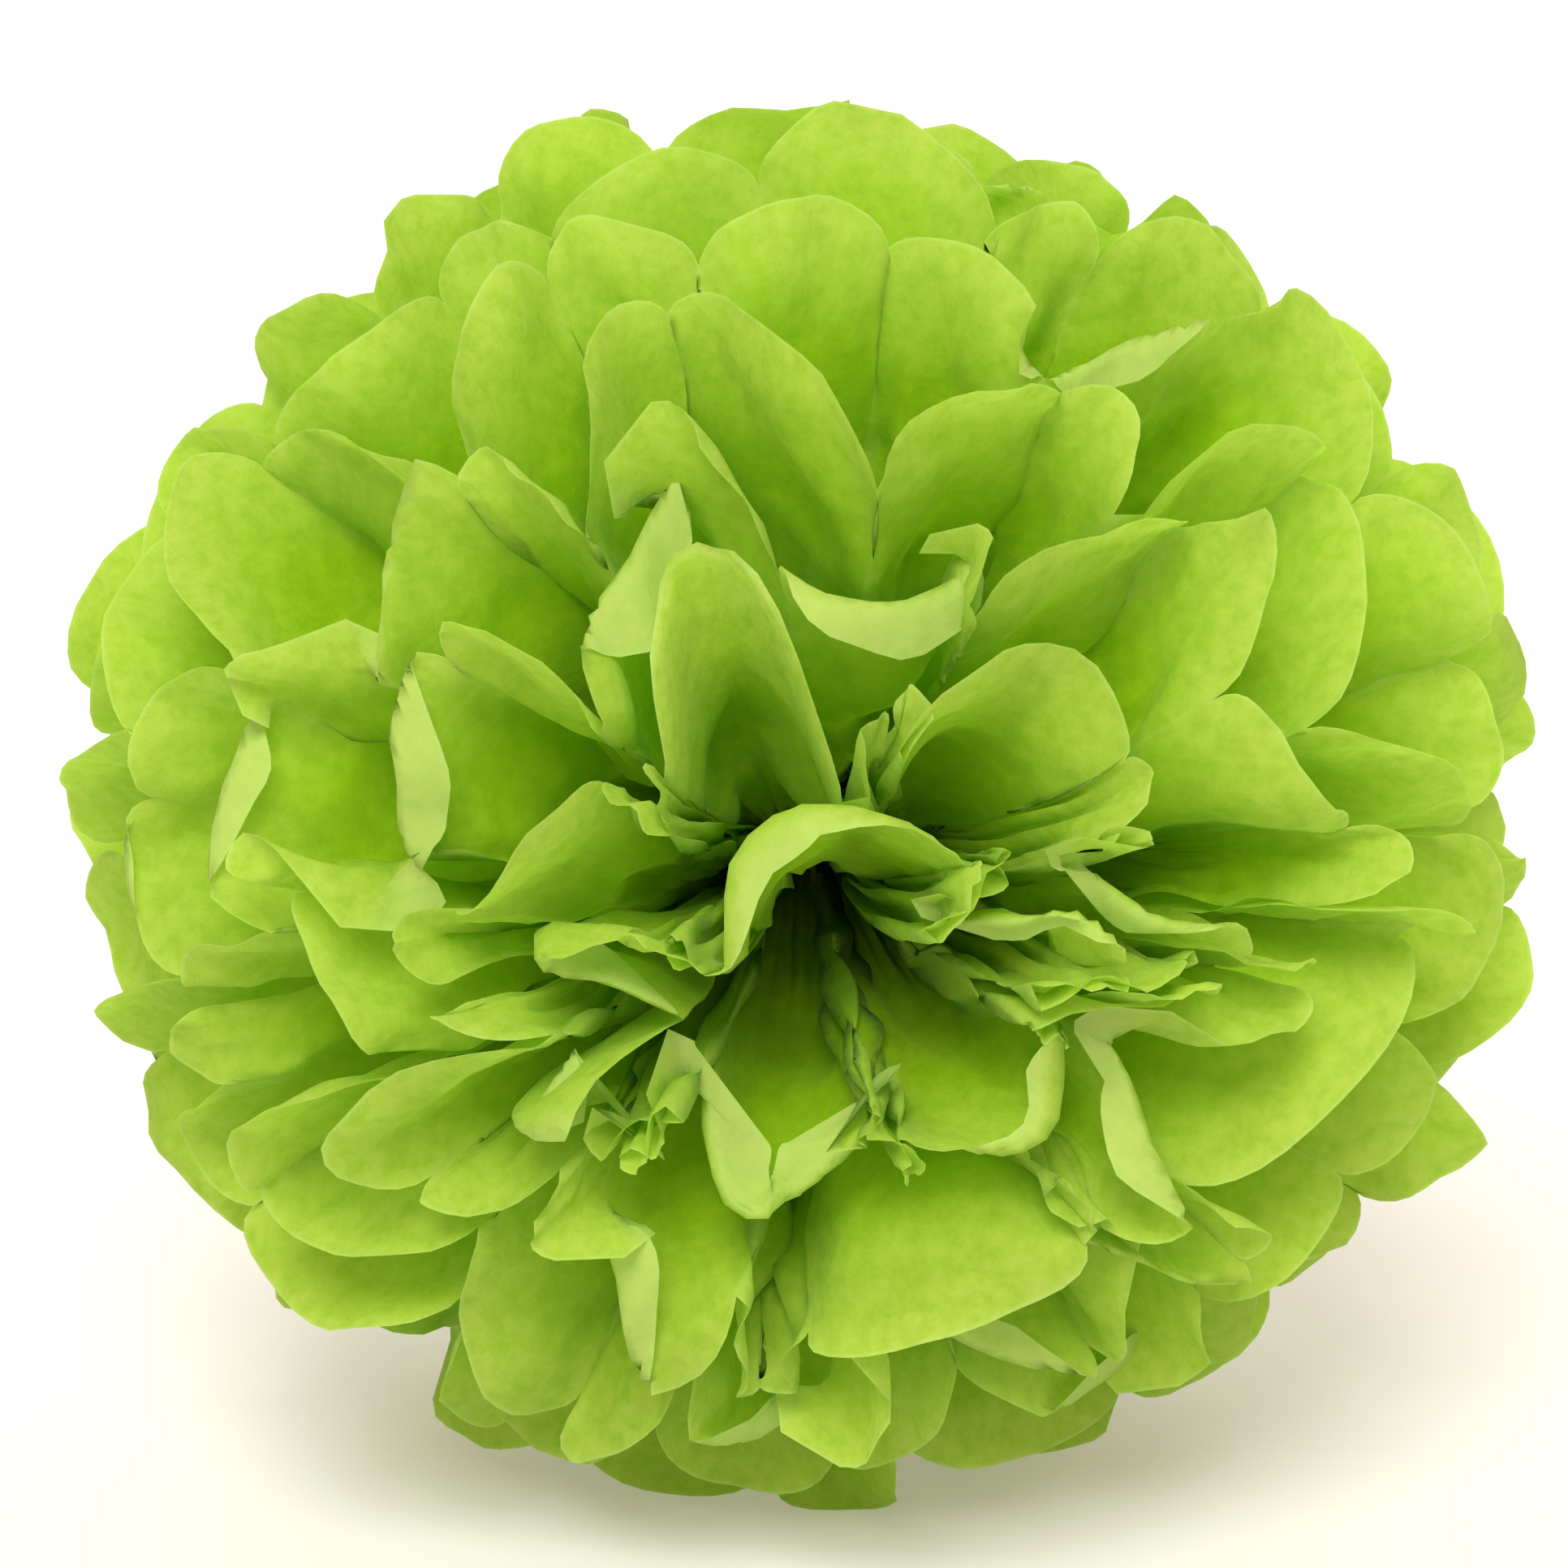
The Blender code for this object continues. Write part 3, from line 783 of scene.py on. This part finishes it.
def tissue_colour(tree, coordinates):
    """Cloudy fibres and specks, a painted-light paler rim and lips, and lines at rims and
    creases.
    """
    clouds = noise(tree, coordinates, *CLOUD_NOISE)
    wide_clouds = noise(tree, coordinates, *WIDE_CLOUD_NOISE)
    fibres = noise(tree, coordinates, *FIBRE_NOISE)
    specks = noise(tree, coordinates, *SPECK_NOISE)
    rim = point_value(tree, "to_rim")
    # painted light: lighter towards the rim, mottled by the clouds
    painted_lit_rim = ramp(tree, rim, *PAINTED_LIT_RIM_RAMP)
    lit_rim_mottle = ramp(tree, clouds, *LIT_RIM_MOTTLE_RAMP)
    layers = (
        (ramp(tree, wide_clouds, *WIDE_CLOUD_RAMP), WIDE_CLOUD),
        (ramp(tree, fibres, *FIBRE_RAMP), FIBRE),
        (ramp(tree, specks, *SPECK_RAMP), SPECK),
        # painted light on the rims
        (combine(tree, "MULTIPLY", painted_lit_rim, lit_rim_mottle), PAINTED_LIT_RIM),
        # painted light on turned-over lips
        (ramp(tree, point_value(tree, "turned"), *PAINTED_LIT_LIP_RAMP), PAINTED_LIT_LIP),
        (ramp(tree, rim, *RIM_LINE_RAMP), RIM_LINE),
        (ramp(tree, point_value(tree, "to_crease"), *CREASE_LINE_RAMP), CREASE_LINE),
    )
    body = mix_colour(tree, ramp(tree, clouds, *CLOUD_RAMP), DENSE, THIN)
    for share, colour in layers:
        body = mix_colour(tree, share, body, colour)
    return body


def tissue_material():
    """Thin lime tissue with a light crinkle, which lets light pass through."""
    material = bpy.data.materials.new("lime_tissue")
    material.use_nodes = True
    tree = material.node_tree
    tree.nodes.clear()
    coordinates = tree.nodes.new("ShaderNodeTexCoord").outputs["Object"]
    body = tissue_colour(tree, coordinates)
    coarse = noise(tree, coordinates, *COARSE_BUMP_NOISE)
    fine = noise(tree, coordinates, *FINE_BUMP_NOISE)
    normal = bump(tree, fine, *FINE_BUMP, bump(tree, coarse, *COARSE_BUMP))
    shader = tree.nodes.new("ShaderNodeBsdfPrincipled")
    for name, value in TISSUE_SURFACE.items():
        shader.inputs[name].default_value = value
    tree.links.new(body, shader.inputs["Base Color"])
    tree.links.new(normal, shader.inputs["Normal"])
    glow = tree.nodes.new("ShaderNodeBsdfTranslucent")
    tree.links.new(mix_colour(tree, GLOW_TINT, body, GLOW), glow.inputs["Color"])
    tree.links.new(normal, glow.inputs["Normal"])
    mix = tree.nodes.new("ShaderNodeMixShader")
    mix.inputs["Fac"].default_value = GLOW_SHARE
    tree.links.new(shader.outputs["BSDF"], mix.inputs[1])
    tree.links.new(glow.outputs["BSDF"], mix.inputs[2])
    output = tree.nodes.new("ShaderNodeOutputMaterial")
    tree.links.new(mix.outputs["Shader"], output.inputs["Surface"])
    return material


def wire_material():
    """Drawn steel wire with faint streaks."""
    material = bpy.data.materials.new("tie_wire_steel")
    material.use_nodes = True
    tree = material.node_tree
    shader = tree.nodes["Principled BSDF"]
    shader.inputs["Metallic"].default_value = 1.0
    coordinates = tree.nodes.new("ShaderNodeTexCoord").outputs["Object"]
    streaks = noise(tree, coordinates, *STREAK_NOISE)
    colour = mix_colour(tree, streaks, DARK_STEEL, BRIGHT_STEEL)
    tree.links.new(colour, shader.inputs["Base Color"])
    tree.links.new(ramp(tree, streaks, *STEEL_ROUGHNESS_RAMP), shader.inputs["Roughness"])
    return material


def tie_path():
    """Centre line of the wire: in along one tail, round the bundle, out along the other."""
    radius = bundle_radius() + LAYER_GAP + WIRE_DIAMETER / 2
    strand = (WIRE_DIAMETER + LAYER_GAP) / 2
    start = radius + strand
    tail = []
    for step in range(TAIL_STEPS + 1):
        along = WIRE_TAIL * step / TAIL_STEPS
        twist = CIRCLE * along / TWIST_PITCH
        tail.append((start + along, strand * math.sin(twist), strand * math.cos(twist)))
    points = list(reversed(tail))
    for step in range(RING_STEPS + 1):
        turn = TIE_OPENING + (CIRCLE - 2 * TIE_OPENING) * step / RING_STEPS
        points.append((radius * math.cos(turn), 0.0, radius * math.sin(turn)))
    points.extend((x, -y, -z) for x, y, z in tail)
    return points


def make_tie():
    """Round wire along the path of the tie's solid."""
    curve = bpy.data.curves.new("tie_wire_round", "CURVE")
    curve.dimensions = "3D"
    curve.bevel_depth = WIRE_DIAMETER / 2
    curve.bevel_resolution = WIRE_BEVEL_STEPS
    curve.use_fill_caps = True
    spline = curve.splines.new("POLY")
    points = tie_path()
    spline.points.add(len(points) - 1)
    for corner, point in zip(spline.points, points):
        place = settle(*(np.array(value) for value in point))
        corner.co = (*(float(value) for value in place), 1.0)
    curve.materials.append(wire_material())
    item = bpy.data.objects.new("tie_wire_round", curve)
    bpy.context.scene.collection.objects.link(item)
    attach(item, "root")
    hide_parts("tie_wire")


# View and light
CAMERA_DISTANCE = 1.0
CAMERA_ELEVATION = 12.0
CAMERA_AZIMUTH = -3.0
FRAME_WIDTH = 0.264
IMAGE_WIDTH = 1932
BALL_CENTRE_PIXEL = (985, 990)
SENSOR_WIDTH = 36.0
CLIP_START = 0.01

# Floor: its near white, and a warm tint that shows over it and its shadow
FLOOR_HALF_SIZE = 20.0
FLOOR_WHITE = (0.92, 0.91, 0.94, 1.0)
FLOOR_WARM = (1.0, 0.87, 0.66, 1.0)
FLOOR_WARM_SHARE = 0.30

# Light from all round, and two suns: strength, width in degrees, direction, colour
ROOM_COLOUR = (1.0, 0.90, 0.74, 1.0)
ROOM_STRENGTH = 0.62
LAMPS = {
    "key": (3.1, 32.0, (-0.18, -1.0, 1.0), (1.0, 1.0, 0.98)),
    "back": (1.0, 60.0, (0.15, 1.0, 0.9), (1.0, 1.0, 1.0)),
}


def make_camera():
    """Camera at the photograph's angle, with the ball where the photograph has it."""
    azimuth = math.radians(CAMERA_AZIMUTH)
    elevation = math.radians(CAMERA_ELEVATION)
    back = Vector(
        (
            math.sin(azimuth) * math.cos(elevation),
            -math.cos(azimuth) * math.cos(elevation),
            math.sin(elevation),
        )
    )
    turn = (-back).to_track_quat("-Z", "Y")
    metres_per_pixel = FRAME_WIDTH / IMAGE_WIDTH
    right = turn @ Vector((1, 0, 0))
    up = turn @ Vector((0, 1, 0))
    aim = Vector((0, 0, CENTRE_HEIGHT))
    aim -= right * (BALL_CENTRE_PIXEL[0] - IMAGE_WIDTH / 2) * metres_per_pixel
    aim += up * (BALL_CENTRE_PIXEL[1] - IMAGE_WIDTH / 2) * metres_per_pixel
    data = bpy.data.cameras.new("camera")
    data.sensor_width = SENSOR_WIDTH
    data.lens = SENSOR_WIDTH * CAMERA_DISTANCE / FRAME_WIDTH
    data.clip_start = CLIP_START
    item = bpy.data.objects.new("camera", data)
    item.location = aim + back * CAMERA_DISTANCE
    item.rotation_euler = turn.to_euler()
    bpy.context.scene.collection.objects.link(item)
    bpy.context.scene.camera = item


def seen_rays(tree):
    """1 for rays from the camera, in a reflection or through a clear body, else 0."""
    rays = tree.nodes.new("ShaderNodeLightPath")
    seen = rays.outputs["Is Camera Ray"]
    for name in ("Is Glossy Ray", "Is Transmission Ray"):
        seen = combine(tree, "MAXIMUM", seen, rays.outputs[name])
    return seen


def make_floor():
    """Plain white floor that keeps the ball's shadow."""
    mesh = bpy.data.meshes.new("floor")
    ways = ((-1, -1), (1, -1), (1, 1), (-1, 1))
    corners = [(x * FLOOR_HALF_SIZE, y * FLOOR_HALF_SIZE, 0.0) for x, y in ways]
    mesh.from_pydata(corners, [], [(0, 1, 2, 3)])
    item = bpy.data.objects.new("floor", mesh)
    bpy.context.scene.collection.objects.link(item)
    material = bpy.data.materials.new("floor_white")
    material.use_nodes = True
    tree = material.node_tree
    tree.nodes.clear()
    diffuse = tree.nodes.new("ShaderNodeBsdfDiffuse")
    diffuse.inputs["Color"].default_value = FLOOR_WHITE
    warm = tree.nodes.new("ShaderNodeEmission")
    warm.inputs["Color"].default_value = FLOOR_WARM
    warm.inputs["Strength"].default_value = 1.0
    mix = tree.nodes.new("ShaderNodeMixShader")
    warm_share = combine(tree, "MULTIPLY", seen_rays(tree), FLOOR_WARM_SHARE)
    tree.links.new(warm_share, mix.inputs["Fac"])
    tree.links.new(diffuse.outputs["BSDF"], mix.inputs[1])
    tree.links.new(warm.outputs["Emission"], mix.inputs[2])
    output = tree.nodes.new("ShaderNodeOutputMaterial")
    tree.links.new(mix.outputs["Shader"], output.inputs["Surface"])
    mesh.materials.append(material)


def make_world():
    """Even light from all round, with a plain pale backdrop where rays see it."""
    world = bpy.data.worlds.new("studio")
    bpy.context.scene.world = world
    world.use_nodes = True
    tree = world.node_tree
    tree.nodes.clear()
    light = tree.nodes.new("ShaderNodeBackground")
    light.inputs["Color"].default_value = ROOM_COLOUR
    light.inputs["Strength"].default_value = ROOM_STRENGTH
    white = tree.nodes.new("ShaderNodeBackground")
    white.inputs["Strength"].default_value = 1.0
    mix = tree.nodes.new("ShaderNodeMixShader")
    tree.links.new(seen_rays(tree), mix.inputs["Fac"])
    tree.links.new(light.outputs["Background"], mix.inputs[1])
    tree.links.new(white.outputs["Background"], mix.inputs[2])
    output = tree.nodes.new("ShaderNodeOutputWorld")
    tree.links.new(mix.outputs["Shader"], output.inputs["Surface"])


def make_lamp(name, strength, spread_angle, direction, colour):
    """A broad soft sun that shines from a direction."""
    data = bpy.data.lights.new(name, "SUN")
    data.energy = strength
    data.angle = math.radians(spread_angle)
    data.color = colour
    item = bpy.data.objects.new(name, data)
    item.rotation_euler = Vector(direction).to_track_quat("Z", "Y").to_euler()
    bpy.context.scene.collection.objects.link(item)


def main():
    make_camera()
    tissue = tissue_material()
    for side in (1, -1):
        for rank in range(SHEETS_PER_SIDE):
            make_sheet(side, rank, tissue)
    make_tie()
    make_floor()
    make_world()
    for name, values in LAMPS.items():
        make_lamp(name, *values)
    bpy.context.scene.view_settings.view_transform = "Standard"


main()
